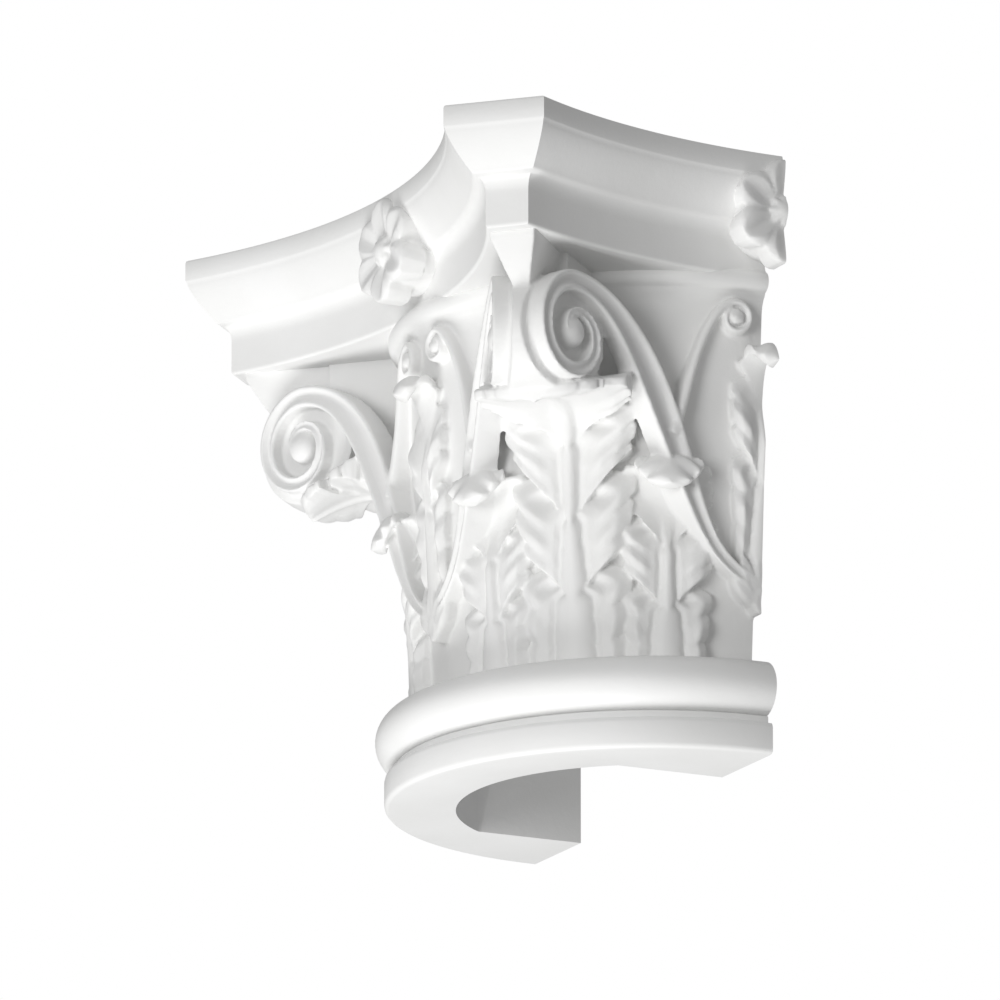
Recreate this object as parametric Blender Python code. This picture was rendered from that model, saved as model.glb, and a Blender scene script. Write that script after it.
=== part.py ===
"""Half-column capital, moulded in one piece.

A turned ring and bell carry an abacus with four hollowed sides, of which the wall leaves half.
Six acanthus leaves stand on the ring, and ribbons rise from the middle of each face to the corner volutes.
The back is flat against the wall, and the inside is hollow from the underside and from the back.
"""

import math

import bpy
import bmesh
from mathutils import Vector

# Whole piece, in metres
HALF_WIDTH = 0.180
HEIGHT = 0.288
WALL_Y = HALF_WIDTH / 2

# Ring under the bell
BAND_RADIUS = 0.1272
BAND_TOP = 0.0150
GROOVE_RADIUS = 0.1225
GROOVE_TOP = 0.0190
TORUS_HALF_HEIGHT = 0.0135
TORUS_RADIUS = 0.1316
RING_TOP = 0.0460

# Bell and its lip
BELL_BASE_RADIUS = 0.106
BELL_TOP_RADIUS = 0.118
BELL_BASE = 0.047
BELL_TOP = 0.212
LIP_RADIUS = 0.126
LIP_TOP = 0.236
TURNED_SEGMENTS = 40

# Abacus
ABACUS_MID = 0.141
ABACUS_CORNER = 0.145
SOFFIT = 0.232
FILLET_BOTTOM = 0.277
SPLAY_BOTTOM = 0.2585
SPLAY_INSET = 0.0120
SPLAY_ROUND = 1.35
QUIRK = 0.0016
COVE_BOTTOM = 0.2490
COVE_INSET = 0.0190
EASED_EDGE = 0.0015
SIDE_STEPS = 7
SPLAY_STEPS = 2

# Hollow inside
HOLLOW_HALF_WIDTH = 0.075
HOLLOW_RADIUS = 0.093
HOLLOW_TOP = 0.243
HOLLOW_STEPS = 14

# Curved sheet in which the ribbons and volutes of one face lie
SHEET_MID = 0.1085
SHEET_BEND = 1.86
SHEET_BLEND = 0.004

# Corner volutes
VOLUTE_AT = 0.1125
VOLUTE_Z = 0.190
VOLUTE_RADIUS = 0.030
VOLUTE_SHRINK = 0.0951
VOLUTE_TURNS = 1.6
VOLUTE_BAND = 0.34
SPIRAL_STEPS = 18
EYE_RADIUS = 0.0062

# Ribbons
RIBBON_START = (0.006, 0.086)
RIBBON_KNEE = (0.043, 0.138)
RIBBON_START_HALF = 0.0032
RIBBON_FULL_HALF = 0.0085
RIM_DEPTH = 0.0065
CHANNEL_DEPTH = 0.0020
STEM_BACK = -0.0090
BAND_BACK = -0.0035

# Barrel between the volutes of a corner, its neck, and the pendant over it: (distance, height)
HORN_AT = 0.170
BARREL_HALF = 0.0138
BARREL_TAPER = 0.4245
BARREL_RADIUS = 0.0272
BARREL_SIDES = 12
NECK_HALF = 0.0135
NECK_PROFILE = ((0.095, 0.245), (0.162, 0.245), (0.162, 0.176), (0.140, 0.168), (0.095, 0.158))
PENDANT_PROFILE = (
    (0.140, 0.245), (0.206, 0.245), (0.204, 0.229), (0.196, 0.216), (0.188, 0.204), (0.140, 0.204),
)
PENDANT_TOP_HALF = 0.0125
PENDANT_FOOT_HALF = 0.0030
PENDANT_FOOT = 0.204

# Small inner curls
CURL_AT = 0.0150
CURL_Z = 0.2120
CURL_RADIUS = 0.0100
CURL_SHRINK = 0.11
CURL_TURNS = 1.0
CURL_BAND = 0.44
CURL_STEPS = 10
CURL_DEPTH = 0.0060
STALK_HALF = 0.0028

# Acanthus leaves: the stem and the curl of each spine are (distance, height)
WRAP_RADIUS = 0.118
LOWER_ANGLES = (22.5, 67.5, 112.5, 157.5)
LOWER_STEM = ((0.106, 0.040), (0.107, 0.070), (0.109, 0.100))
LOWER_CURL = ((0.110, 0.112), (0.111, 0.142), (0.126, 0.144), (0.1285, 0.125))
LOWER_HALF = 0.0245
CORNER_ANGLES = (45.0, 135.0)
CORNER_STEM = ((0.106, 0.040), (0.109, 0.080), (0.112, 0.120))
CORNER_CURL = ((0.114, 0.140), (0.114, 0.174), (0.142, 0.177), (0.174, 0.161))
CORNER_HALF = 0.0325
CENTRE_STEM = ((0.1096, 0.095), (0.1120, 0.130))
CENTRE_CURL = ((0.1155, 0.165), (0.117, 0.196), (0.127, 0.200), (0.131, 0.187))
CENTRE_HALF = 0.0160
RIB_AT = 0.20
LOBE_AT = 0.60
LEAF_COLUMNS = (-1.0, -LOBE_AT, -RIB_AT, 0.0, RIB_AT, LOBE_AT, 1.0)
LOBE_ROWS = (0.0, 0.35, 0.80)
SPINE_STEPS = 10
RIB_RISE = 0.0040
LOBE_RISE = 0.0042
LOBE_SLANT = 0.12
LOBE_NOTCH = 0.34
LEAF_FOOT = 0.84
LEAF_BACK = 0.0110
TIP_BACK = 0.0035
TIP_RIDGE = 0.0030
TIP_FACE = 0.0025
TIP_LOSS = 0.85

# Buds from which the ribbons start: (height, half width, depth)
BUD_RINGS = ((0.074, 0.004, 0.004), (0.080, 0.010, 0.009), (0.090, 0.013, 0.011), (0.106, 0.005, 0.006))
BUD_LOBE = 0.16
BUD_SIDES = 9

# Flowers on the abacus
FLOWER_Z = 0.2600
FLOWER_RADIUS = 0.0255
FLOWER_BASE = 0.1180
FLOWER_PETALS = 6
FLOWER_RINGS = ((0.80, -0.004), (1.00, 0.018), (0.74, 0.0255), (0.42, 0.0190), (0.22, 0.0275))
FLOWER_NOTCH = 0.22

OVERRUN = 0.030
FULL_TURN = 2 * math.pi


def around(angle, radius, z):
    """Point at an angle in degrees from the +X wall end, round the front, to the -X wall end."""
    turn = math.radians(angle)
    return Vector((radius * math.cos(turn), WALL_Y - radius * math.sin(turn), z))


def blend(low, high, amount):
    return low + (high - low) * amount


def clamp(value, low, high):
    return max(low, min(high, value))


def bezier(points, count):
    """Points along one cubic curve, both ends included."""
    a, b, c, d = (Vector(p) for p in points)
    row = []
    for i in range(count + 1):
        t = i / count
        s = 1 - t
        row.append(a * s ** 3 + b * 3 * s * s * t + c * 3 * s * t * t + d * t ** 3)
    return row


def new_form(name, rings):
    """Closed solid through rings of equal length, each joined to the next."""
    mesh = bpy.data.meshes.new(name)
    bm = bmesh.new()
    rows = [[bm.verts.new(p) for p in ring] for ring in rings]
    size = len(rings[0])
    for low, high in zip(rows, rows[1:]):
        for i in range(size):
            j = (i + 1) % size
            bm.faces.new((low[i], low[j], high[j], high[i]))
    bm.faces.new(rows[0])
    bm.faces.new(rows[-1])
    bmesh.ops.triangulate(bm, faces=[f for f in bm.faces if len(f.verts) > 3])
    bmesh.ops.recalc_face_normals(bm, faces=bm.faces)
    bm.to_mesh(mesh)
    bm.free()
    form = bpy.data.objects.new(name, mesh)
    return form


def bell_radius(z):
    rise = clamp((z - BELL_BASE) / (BELL_TOP - BELL_BASE), 0, 1)
    return blend(BELL_BASE_RADIUS, BELL_TOP_RADIUS, rise)


def turned_profile():
    """Radius and height up the outside of the ring and the bell."""
    rows = [(BAND_RADIUS - 0.0025, 0.0), (BAND_RADIUS, 0.0025), (BAND_RADIUS, BAND_TOP - 0.001)]
    rows += [(GROOVE_RADIUS, BAND_TOP + 0.001), (GROOVE_RADIUS, GROOVE_TOP)]
    middle = GROOVE_TOP + TORUS_HALF_HEIGHT
    for degrees in (-70, -40, 0, 40, 70):
        turn = math.radians(degrees)
        radius = TORUS_RADIUS - TORUS_HALF_HEIGHT * (1 - math.cos(turn))
        rows.append((radius, middle + TORUS_HALF_HEIGHT * math.sin(turn)))
    rows.append((TORUS_RADIUS - TORUS_HALF_HEIGHT, RING_TOP))
    rows.append((BELL_BASE_RADIUS + 0.002, RING_TOP + 0.001))
    rows.append((BELL_BASE_RADIUS, RING_TOP + 0.004))
    rows.append((bell_radius(0.13), 0.13))
    rows.append((BELL_TOP_RADIUS, BELL_TOP))
    rows.append((blend(BELL_TOP_RADIUS, LIP_RADIUS, 0.35), BELL_TOP + 0.008))
    rows.append((LIP_RADIUS, LIP_TOP - 0.008))
    rows.append((LIP_RADIUS, LIP_TOP + 0.010))
    return rows


def turned_body():
    step = 360 / TURNED_SEGMENTS
    rings = []
    for radius, z in turned_profile():
        rings.append([around(step * (i + 0.5), radius, z) for i in range(TURNED_SEGMENTS)])
    return new_form("half_column_capital", rings)


def abacus_plan(inset, count):
    """Plan of the whole abacus, moved in by an inset: four hollow sides and four cut corners."""
    sagitta = HALF_WIDTH - ABACUS_MID
    radius = (ABACUS_CORNER ** 2 + sagitta ** 2) / (2 * sagitta)
    centre = ABACUS_MID + radius
    cut = HALF_WIDTH + ABACUS_CORNER - inset * math.sqrt(2)
    reach = radius + inset
    gap = centre - cut
    end = (math.sqrt(2 * reach * reach - gap * gap) - gap) / 2
    plan = []
    for side in range(4):
        for i in range(count + 1):
            along = blend(-end, end, i / count)
            out = centre - math.sqrt(reach * reach - along * along)
            turn = math.radians(90 * side)
            x = out * math.cos(turn) - along * math.sin(turn)
            y = out * math.sin(turn) + along * math.cos(turn)
            plan.append((x, WALL_Y - y))
    return plan


def abacus_profile():
    """Inset and height: fillet, rounded splay, quirk, cove and a plain band down to the soffit."""
    rows = [(EASED_EDGE, HEIGHT), (0.0, HEIGHT - EASED_EDGE), (0.0, FILLET_BOTTOM)]
    for i in range(1, SPLAY_STEPS + 1):
        part = i / SPLAY_STEPS
        rows.append((SPLAY_INSET * part ** SPLAY_ROUND, blend(FILLET_BOTTOM, SPLAY_BOTTOM, part)))
    rows.append((SPLAY_INSET + QUIRK, SPLAY_BOTTOM - QUIRK))
    for degrees in (45, 90):
        turn = math.radians(degrees)
        inset = blend(SPLAY_INSET + QUIRK, COVE_INSET, math.sin(turn))
        rows.append((inset, blend(SPLAY_BOTTOM - QUIRK, COVE_BOTTOM, 1 - math.cos(turn))))
    rows.append((COVE_INSET, SOFFIT + EASED_EDGE))
    rows.append((COVE_INSET + EASED_EDGE, SOFFIT))
    return rows


def abacus():
    rings = []
    for inset, z in abacus_profile():
        rings.append([Vector((x, y, z)) for x, y in abacus_plan(inset, SIDE_STEPS)])
    return new_form("abacus", rings)


def face_distance(along, z):
    """Distance of the ribbons' sheet from the axis: on the bell in the middle, free of it outside."""
    radius = bell_radius(z)
    bell = math.sqrt(max(radius * radius - along * along, 0.0))
    sheet = SHEET_MID + SHEET_BEND * along * along
    gap = bell - sheet
    return (bell + sheet + math.sqrt(gap * gap + SHEET_BLEND ** 2)) / 2


def on_face(turn, along, z, depth):
    """Point on a face: turned 0 to the +X side, 90 to the front, 180 to the -X side."""
    straight = along - math.copysign((2 * SHEET_BEND) ** 2 * abs(along) ** 3 / 6, along)
    step = 0.001
    slope = (face_distance(straight + step, z) - face_distance(straight - step, z)) / (2 * step)
    scale = 1 / math.sqrt(1 + slope * slope)
    out = face_distance(straight, z) + depth * scale
    side = straight - depth * slope * scale
    angle = math.radians(turn)
    x = out * math.cos(angle) - side * math.sin(angle)
    y = out * math.sin(angle) + side * math.cos(angle)
    return Vector((x, WALL_Y - y, z))


def spiral(centre, radius, shrink, turns, band, count):
    """Middle points and half widths of a spiral band from its top, turning outward and down."""
    stations = []
    for i in range(count + 1):
        turn = FULL_TURN * turns * i / count
        outer = radius * math.exp(-shrink * turn)
        half = outer * band / 2
        middle = outer - half
        place = Vector((centre[0] + middle * math.sin(turn), centre[1] + middle * math.cos(turn)))
        stations.append((place, half))
    return stations


def swept_band(name, turn, side, stations, front, backs):
    """Band along stations in a face's sheet: its front is (across, depth) pairs, its back is flat."""
    rings = []
    places = [place for place, half in stations]
    for i, (place, half) in enumerate(stations):
        section = [(-1, backs[i])] + list(front) + [(1, backs[i])]
        ahead = places[min(i + 1, len(places) - 1)]
        behind = places[max(i - 1, 0)]
        run = (ahead - behind).normalized()
        across = Vector((-run.y, run.x))
        ring = []
        for offset, depth in section:
            spot = place + across * offset * half
            ring.append(on_face(turn, side * spot.x, spot.y, depth))
        rings.append(ring)
    return new_form(name, rings)


def ribbon_stations():
    """Stem from the middle of the face to the volute, then the volute's own spiral."""
    curl = spiral((VOLUTE_AT, VOLUTE_Z), VOLUTE_RADIUS, VOLUTE_SHRINK, VOLUTE_TURNS, VOLUTE_BAND, SPIRAL_STEPS)
    top, top_half = curl[0]
    knee = Vector(RIBBON_KNEE)
    low = bezier((RIBBON_START, (0.028, 0.096), (0.034, 0.118), knee), 4)
    high = bezier((knee, (0.052, 0.158), (0.072, top.y), top), 7)
    stem = low[:-1] + high[:-1]
    stations = []
    for i, place in enumerate(stem):
        part = i / len(stem)
        if part < 0.6:
            half = blend(RIBBON_START_HALF, RIBBON_FULL_HALF, part / 0.6)
        else:
            half = blend(RIBBON_FULL_HALF, top_half, (part - 0.6) / 0.4)
        stations.append((place, half))
    return stations + curl


def ribbon(turn, side):
    stations = ribbon_stations()
    stem = len(stations) - SPIRAL_STEPS
    backs = [blend(STEM_BACK, BAND_BACK, clamp(i / stem, 0, 1)) for i in range(len(stations))]
    front = ((-1, RIM_DEPTH), (-0.4, CHANNEL_DEPTH), (0.4, CHANNEL_DEPTH), (1, RIM_DEPTH))
    return swept_band("ribbon", turn, side, stations, front, backs)


def face_disc(name, turn, side, centre, rows, count):
    """Round boss on a face: rows of (radius, depth) from the back to the front."""
    rings = []
    for radius, depth in rows:
        ring = []
        for i in range(count):
            angle = FULL_TURN * i / count
            along = side * (centre[0] + radius * math.cos(angle))
            ring.append(on_face(turn, along, centre[1] + radius * math.sin(angle), depth))
        rings.append(ring)
    return new_form(name, rings)


def volute_web(turn, side):
    radius = VOLUTE_RADIUS * 0.86
    rows = ((radius, BAND_BACK - 0.0007), (radius, 0.0), (radius * 0.25, 0.0015))
    return face_disc("volute_web", turn, side, (VOLUTE_AT, VOLUTE_Z), rows, 12)


def volute_eye(turn, side):
    rows = ((EYE_RADIUS, -0.004), (EYE_RADIUS, 0.0045), (EYE_RADIUS * 0.5, 0.0075))
    return face_disc("volute_eye", turn, side, (VOLUTE_AT, VOLUTE_Z), rows, 8)


def inner_curl(turn, side):
    """Small curl under the lip, on a stalk that leaves the ribbon."""
    curl = spiral((-CURL_AT, CURL_Z), CURL_RADIUS, CURL_SHRINK, CURL_TURNS, CURL_BAND, CURL_STEPS)
    top, top_half = curl[0]
    stem = bezier(((-0.047, 0.152), (-0.036, 0.178), (-0.030, top.y - 0.002), top), 4)[:-1]
    stations = [(place, blend(STALK_HALF, top_half, i / len(stem))) for i, place in enumerate(stem)]
    stations += curl
    backs = [STEM_BACK] * len(stations)
    front = ((-0.7, CURL_DEPTH), (0.7, CURL_DEPTH))
    return swept_band("inner_curl", turn, -side, stations, front, backs)


def on_diagonal(angle, profile, half_at):
    """Slab on a corner's diagonal, from a profile of (distance, height) and a half thickness."""
    rings = []
    for side in (-1, 1):
        ring = []
        for out, z in profile:
            turn = math.atan2(side * half_at(out, z), out)
            ring.append(around(angle + math.degrees(turn), out / math.cos(turn), z))
        rings.append(ring)
    return new_form("corner_slab", rings)


def horn_neck(angle):
    """Neck on the diagonal that ties the volutes of a corner to the bell."""
    return on_diagonal(angle, NECK_PROFILE, lambda out, z: NECK_HALF)


def horn_barrel(angle):
    """Round barrel between the two volutes of a corner, narrower towards the ridge."""
    profile = []
    for i in range(BARREL_SIDES):
        turn = FULL_TURN * (i + 0.5) / BARREL_SIDES
        out = HORN_AT + BARREL_RADIUS * math.cos(turn)
        profile.append((out, VOLUTE_Z + BARREL_RADIUS * math.sin(turn)))
    return on_diagonal(angle, profile, lambda out, z: BARREL_HALF - BARREL_TAPER * (out - HORN_AT))


def pendant_half(out, z):
    """Half thickness of the pendant: it widens from its foot up to the soffit."""
    rise = (z - PENDANT_FOOT) / (SOFFIT - PENDANT_FOOT)
    return blend(PENDANT_FOOT_HALF, PENDANT_TOP_HALF, rise)


def horn_pendant(angle):
    """Pointed pendant under the cut corner of the abacus, down between the volutes."""
    return on_diagonal(angle, PENDANT_PROFILE, pendant_half)


def even(points, count):
    """The same open line with its points spaced evenly."""
    lengths = [0.0]
    for a, b in zip(points, points[1:]):
        lengths.append(lengths[-1] + (b - a).length)
    row = []
    index = 0
    for i in range(count + 1):
        goal = lengths[-1] * i / count
        while index < len(points) - 2 and lengths[index + 1] < goal:
            index += 1
        span = lengths[index + 1] - lengths[index]
        row.append(points[index].lerp(points[index + 1], clamp((goal - lengths[index]) / span, 0, 1)))
    return row


def on_spine(spine, part, height):
    """Distance and height of a point over a spine, at a part of its length."""
    last = len(spine) - 1
    place = clamp(part, 0, 1) * last
    index = min(int(place), last - 1)
    spot = spine[index].lerp(spine[index + 1], place - index)
    run = (spine[min(index + 2, last)] - spine[max(index - 1, 0)]).normalized()
    return spot.x + run.y * height, spot.y - run.x * height


def leaf_half_width(part, phase, half_width, shoulder, closing):
    """Half width of a leaf: each lobe widens upward and ends in a notch; over the shoulder it closes."""
    fall = clamp((part - shoulder) / (1 - shoulder), 0, 1)
    outline = blend(LEAF_FOOT, 1.0, clamp(part / shoulder, 0, 1)) * (1 - TIP_LOSS * fall ** closing)
    notch = LOBE_NOTCH * max(1 - phase / 0.3, 0) ** 2
    return half_width * outline * (0.95 + 0.10 * phase) * (1 - notch)


def leaf_relief(across, phase, body):
    """Height of the leaf's face over its spine: rib, valley beside it, and lobes."""
    wide = abs(across)
    rib = RIB_RISE * max(1 - wide / RIB_AT, 0)
    side = clamp((wide - RIB_AT) / (LOBE_AT - RIB_AT), 0, 1)
    lobe = LOBE_RISE * math.sin(math.pi * (0.08 + 0.84 * phase)) * side
    edge = 0.45 * body * max((wide - LOBE_AT) / (1 - LOBE_AT), 0)
    return 0.65 * body + rib + lobe - edge


def leaf(name, angle, stem, curl, half_width, lobes, body, shoulder, closing):
    """Leaf round a spine, its rows slanting up from the rib to the lobes."""
    spine = even([Vector(p) for p in stem] + bezier(curl, 8), SPINE_STEPS * lobes)
    rows = [(lobe + phase, phase) for lobe in range(lobes) for phase in LOBE_ROWS] + [(lobes, 0.0)]
    rings = []
    for row, phase in rows:
        part = row / lobes
        width = leaf_half_width(part, phase, half_width, shoulder, closing)
        curled = clamp((part - shoulder) / 0.2, 0, 1)
        back = -blend(LEAF_BACK, TIP_BACK, curled)
        points = [(-1.0, back)]
        for across in LEAF_COLUMNS:
            relief = leaf_relief(across, phase, body)
            points.append((across, blend(relief, TIP_FACE * (1 - across * across), curled)))
        points += [(1.0, back), (0.0, back - TIP_RIDGE * curled)]
        ring = []
        for across, height in points:
            up = part + LOBE_SLANT * abs(across) * 4 * part * (1 - part)
            radius, z = on_spine(spine, up, height)
            ring.append(around(angle + math.degrees(across * width / WRAP_RADIUS), radius, z))
        rings.append(ring)
    return new_form(name, rings)


def lower_leaf(angle):
    return leaf("lower_leaf", angle, LOWER_STEM, LOWER_CURL, LOWER_HALF, 3, 0.0080, 0.45, 1.2)


def corner_leaf(angle):
    return leaf("corner_leaf", angle, CORNER_STEM, CORNER_CURL, CORNER_HALF, 4, 0.0085, 0.60, 2.2)


def centre_leaf(turn):
    """Narrow leaf between the ribbons of one face."""
    return leaf("centre_leaf", turn, CENTRE_STEM, CENTRE_CURL, CENTRE_HALF, 2, 0.0060, 0.50, 1.5)


def bud(turn):
    """Small three-lobed bud from which the two ribbons of a face start."""
    rings = []
    for height, half, depth in BUD_RINGS:
        ring = []
        for i in range(BUD_SIDES):
            angle = FULL_TURN * i / BUD_SIDES
            lobe = 1 + BUD_LOBE * math.cos(3 * angle)
            radius = bell_radius(height) + depth * math.sin(angle) * lobe
            ring.append(around(turn + math.degrees(half * math.cos(angle) / WRAP_RADIUS), radius, height))
        rings.append(ring)
    return new_form("bud", rings)


def flower(turn):
    """Open flower in the middle of a side of the abacus."""
    count = 3 * FLOWER_PETALS
    facing = math.radians(turn)
    rings = []
    for share, depth in FLOWER_RINGS:
        ring = []
        for i in range(count):
            angle = FULL_TURN * i / count
            between = (1 - abs(math.sin(FLOWER_PETALS / 2 * angle))) ** 2 if share > 0.4 else 0
            radius = FLOWER_RADIUS * share * (1 - FLOWER_NOTCH * between)
            out = FLOWER_BASE + depth
            along = radius * math.cos(angle)
            x = out * math.cos(facing) - along * math.sin(facing)
            y = out * math.sin(facing) + along * math.cos(facing)
            ring.append(Vector((x, WALL_Y - y, FLOWER_Z + radius * math.sin(angle))))
        rings.append(ring)
    return new_form("flower", rings)


def carved_forms():
    """Every form that is joined to the turned body."""
    forms = [abacus()]
    forms += [lower_leaf(angle) for angle in LOWER_ANGLES]
    for angle in CORNER_ANGLES:
        forms += [corner_leaf(angle), horn_neck(angle), horn_barrel(angle), horn_pendant(angle)]
    for turn, sides in ((0, (1,)), (90, (-1, 1)), (180, (-1,))):
        forms += [centre_leaf(turn), bud(turn), flower(turn)]
        for side in sides:
            forms += [ribbon(turn, side), volute_web(turn, side), volute_eye(turn, side)]
            forms.append(inner_curl(turn, side))
    return forms


def hollow_cutter():
    """Space inside: straight at the sides, round at the front, open below and at the back."""
    edge = math.acos(HOLLOW_HALF_WIDTH / HOLLOW_RADIUS)
    plan = [(HOLLOW_HALF_WIDTH, WALL_Y + OVERRUN)]
    for i in range(HOLLOW_STEPS + 1):
        angle = blend(edge, math.pi - edge, i / HOLLOW_STEPS)
        plan.append((HOLLOW_RADIUS * math.cos(angle), WALL_Y - HOLLOW_RADIUS * math.sin(angle)))
    plan.append((-HOLLOW_HALF_WIDTH, WALL_Y + OVERRUN))
    rings = [[Vector((x, y, z)) for x, y in plan] for z in (-OVERRUN, HOLLOW_TOP)]
    return new_form("hollow_cutter", rings)


def wall_cutter():
    """Everything behind the wall plane."""
    reach = 2 * HALF_WIDTH
    rings = []
    for z in (-OVERRUN, HEIGHT + OVERRUN):
        corners = ((-reach, WALL_Y), (reach, WALL_Y), (reach, WALL_Y + reach), (-reach, WALL_Y + reach))
        rings.append([Vector((x, y, z)) for x, y in corners])
    return new_form("wall_cutter", rings)


def primed_white():
    material = bpy.data.materials.new("primed_white")
    material.use_nodes = True
    shader = material.node_tree.nodes["Principled BSDF"]
    shader.inputs["Base Color"].default_value = (0.86, 0.86, 0.85, 1.0)
    shader.inputs["Roughness"].default_value = 0.55
    shader.inputs["Metallic"].default_value = 0.0
    return material


def add_guide(form, collection):
    collection.objects.link(form)
    form.hide_render = True
    form.display_type = 'WIRE'


def main():
    for old in list(bpy.data.objects):
        bpy.data.objects.remove(old, do_unlink=True)

    capital = turned_body()
    bpy.context.scene.collection.objects.link(capital)
    capital.data.materials.append(primed_white())

    carving = bpy.data.collections.new("carving")
    bpy.context.scene.collection.children.link(carving)
    for form in carved_forms():
        add_guide(form, carving)
    join = capital.modifiers.new("join_carving", 'BOOLEAN')
    join.operation = 'UNION'
    join.operand_type = 'COLLECTION'
    join.collection = carving

    cutters = bpy.data.collections.new("cutters")
    bpy.context.scene.collection.children.link(cutters)
    for cutter in (hollow_cutter(), wall_cutter()):
        add_guide(cutter, cutters)
        cut = capital.modifiers.new(cutter.name, 'BOOLEAN')
        cut.operation = 'DIFFERENCE'
        cut.object = cutter


main()
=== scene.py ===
import math

import bpy
import bmesh
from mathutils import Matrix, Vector


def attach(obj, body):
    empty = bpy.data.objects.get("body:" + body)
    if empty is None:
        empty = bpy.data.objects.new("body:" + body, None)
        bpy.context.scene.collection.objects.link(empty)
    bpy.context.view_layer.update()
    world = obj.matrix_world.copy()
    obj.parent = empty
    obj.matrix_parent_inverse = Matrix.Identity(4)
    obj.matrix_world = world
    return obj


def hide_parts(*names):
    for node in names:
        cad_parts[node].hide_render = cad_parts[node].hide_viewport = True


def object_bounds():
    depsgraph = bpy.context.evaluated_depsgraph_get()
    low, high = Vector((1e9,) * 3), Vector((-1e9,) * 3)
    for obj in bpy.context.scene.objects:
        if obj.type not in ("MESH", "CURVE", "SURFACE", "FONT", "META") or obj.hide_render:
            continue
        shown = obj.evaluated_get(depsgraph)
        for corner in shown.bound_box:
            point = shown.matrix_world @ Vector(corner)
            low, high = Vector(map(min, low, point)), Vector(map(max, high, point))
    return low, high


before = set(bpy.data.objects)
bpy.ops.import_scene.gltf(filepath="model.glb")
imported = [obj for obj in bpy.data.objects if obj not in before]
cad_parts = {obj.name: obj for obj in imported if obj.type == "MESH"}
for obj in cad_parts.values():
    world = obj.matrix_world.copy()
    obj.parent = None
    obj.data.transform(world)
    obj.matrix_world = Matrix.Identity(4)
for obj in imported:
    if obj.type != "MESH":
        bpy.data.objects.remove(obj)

NODE = "half_column_capital"

# The capital's box, read from the frame: the wall plane is its back, the axis lies on it at x = 0
CAD_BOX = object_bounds()
HALF_WIDTH = CAD_BOX[1].x
WALL_Y = CAD_BOX[1].y
HEIGHT = CAD_BOX[1].z

# How far, in degrees, a turned form runs on past the wall plane before it is cut there
PAST_WALL = 14

# Ring under the bell, in metres: band, groove, torus, and a small hollow up to the bell as (out, up)
BAND_RADIUS = 0.1272
BAND_TOP = 0.0150
BAND_FOOT_INSET = 0.0022
BAND_FOOT_ROUND = 0.0025
GROOVE_RADIUS = 0.1225
GROOVE_TOP = 0.0190
GROOVE_SLOPE = 0.0004
GROOVE_CORNER = 0.0010
TORUS_HALF_HEIGHT = 0.0135
TORUS_RADIUS = 0.1316
TORUS_STEPS = 20
RING_TOP = 0.0460
RING_TOP_INSET = 0.001
RING_HOLLOW = ((0.003, 0.0006), (0.0012, 0.0016), (-0.001, 0.0040))
RING_COLUMNS = 156
SOFT_EDGE = 0.0012

# Bell and its lip
BELL_ROOT = (0.104, 0.040)
BELL_BASE_RADIUS = 0.106
BELL_TOP_RADIUS = 0.118
BELL_BASE = 0.047
BELL_TOP = 0.212
BELL_ROWS = 12
BELL_COLUMNS = 104
FLARE_REACH = 0.0045
FLARE_RISE = 0.012
LIP_RADIUS = 0.126
LIP_TOP = 0.236
LIP_HALF_HEIGHT = 0.005
LIP_MIDDLE_DROP = 0.0055
LIP_ROUND = 0.004
LIP_STEPS = 8
LIP_BACK = 0.006

# Abacus: the edges of the fillet, splay and soffit are (inset, height) from the line they round
ABACUS_MID = 0.141
ABACUS_CORNER = 0.145
SOFFIT = 0.232
SOFFIT_ROUND = (0.0016, 0.0018)
SOFFIT_INSET = 0.0022
TOP_EDGE = ((0.0012, 0.0), (0.0004, -0.0004), (0.0, -0.0015))
FILLET_BOTTOM = 0.277
FILLET_EDGE = ((0.0, 0.0010), (0.0003, 0.0002))
SPLAY_START = (0.0006, -0.0002)
SPLAY_BOTTOM = 0.2585
SPLAY_INSET = 0.0120
SPLAY_ROUND = 1.35
SPLAY_EDGE = (0.0004, -0.0006)
SPLAY_STEPS = 12
QUIRK = 0.0016
COVE_BOTTOM = 0.2490
COVE_INSET = 0.0190
COVE_STEPS = 8
SIDE_STEPS = 40

# Hollow inside
HOLLOW_HALF_WIDTH = 0.075
HOLLOW_RADIUS = 0.093
HOLLOW_TOP = 0.243

# Curved sheet in which the ribbons and volutes of one face lie
SHEET_MID = 0.1085
SHEET_BEND = 1.86
SHEET_BLEND = 0.004

# Corner volutes
VOLUTE_AT = 0.1125
VOLUTE_Z = 0.190
VOLUTE_RADIUS = 0.030
VOLUTE_SHRINK = 0.0951
VOLUTE_TURNS = 1.30
VOLUTE_CLOSING = 0.0367
VOLUTE_BAND = 0.34
VOLUTE_STEPS = 130
WEB_SHARE = 0.86
WEB_DEPTH = -0.0010
BUTTON_RADIUS = 0.0078
BUTTON_BACK = -0.002
BUTTON_FOOT = 0.0026
BUTTON_RISE = 0.0056

# Ribbons: start, knee and the points that pull their curves are (across, height) on the face
RIBBON_START = (0.006, 0.086)
RIBBON_LOW_PULLS = ((0.028, 0.096), (0.034, 0.118))
RIBBON_KNEE = (0.043, 0.138)
RIBBON_HIGH_PULL = (0.052, 0.158)
RIBBON_TOP_PULL = 0.072
RIBBON_STEPS = 60
RIBBON_START_HALF = 0.0032
RIBBON_FULL_HALF = 0.0085
RIBBON_FULL_AT = 0.6
RIM_WIDTH = 0.0017
RIM_DEPTH = 0.0068
CHANNEL_DEPTH = 0.0022
STEM_BACK = -0.0090
BAND_BACK = -0.0035

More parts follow.
